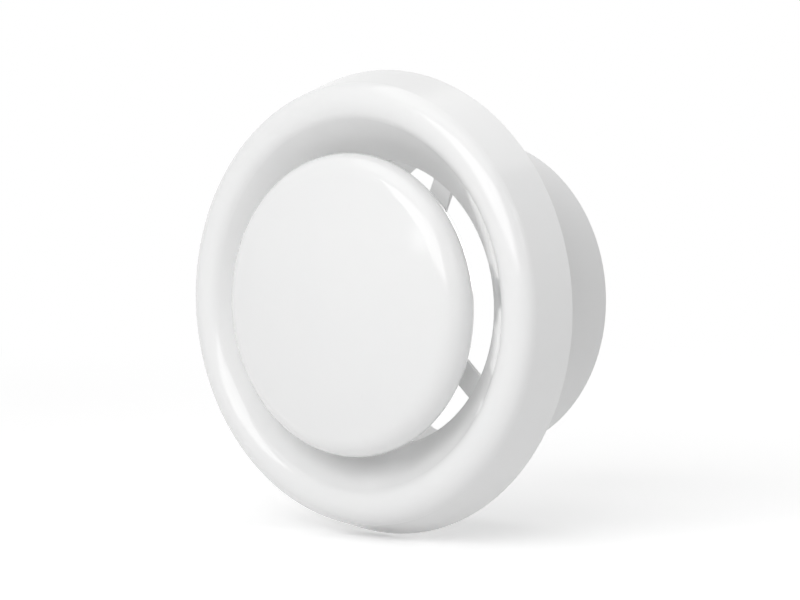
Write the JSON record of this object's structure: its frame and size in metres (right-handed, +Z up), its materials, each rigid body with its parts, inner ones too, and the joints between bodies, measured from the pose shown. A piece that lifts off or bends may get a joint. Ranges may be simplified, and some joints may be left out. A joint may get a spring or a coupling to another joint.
{
  "type": "air outlet vent",
  "caption": "Round adjustable air outlet valve: moulded ring with a flared throat, domed control disc on a screw spindle, and a duct collar.",
  "frame": {"origin": "centre of the ring's back edge, in the wall plane, on the valve's axis", "axes": "+Y along the valve's axis into the duct, the face looking along -Y; +Z up as fixed on a wall"},
  "size_m": [0.142, 0.0763, 0.142],
  "materials": {
    "white_plastic": "gloss",
    "zinc_steel": "satin",
    "seal_foam": "matte"
  },
  "bodies": {
    "ring_body": {"valve_ring": "white_plastic", "mounting_collar": "white_plastic", "sealing_ring": "seal_foam"},
    "disc_carrier": {"disc_washer": "zinc_steel"},
    "disc_body": {"control_disc": "white_plastic", "spindle": "zinc_steel", "disc_nut": "zinc_steel"},
    "nut_carrier": {"lock_washer": "zinc_steel"},
    "nut_body": {"lock_nut": "zinc_steel"}
  },
  "joints": [
    {"name": "disc_travel", "type": "slide", "parent": "ring_body", "child": "disc_carrier", "axis": [0, 1, 0], "range_m": [-0.007, 0.009]},
    {"name": "disc_turn", "type": "hinge", "parent": "disc_carrier", "child": "disc_body", "pos_m": [0, 0, 0], "axis": [0, 1, 0], "range_deg": [-2016, 2592]},
    {"name": "nut_travel", "type": "slide", "parent": "ring_body", "child": "nut_carrier", "axis": [0, 1, 0], "range_m": [0, 0.00375]},
    {"name": "nut_turn", "type": "hinge", "parent": "nut_carrier", "child": "nut_body", "pos_m": [0, 0.02, 0], "axis": [0, 1, 0], "range_deg": [0, 1080]}
  ],
  "couplings": [
    {"joint": "disc_turn", "follows": "disc_travel", "rad_per_m": 5026.5},
    {"joint": "nut_turn", "follows": "nut_travel", "rad_per_m": 5026.5}
  ]
}
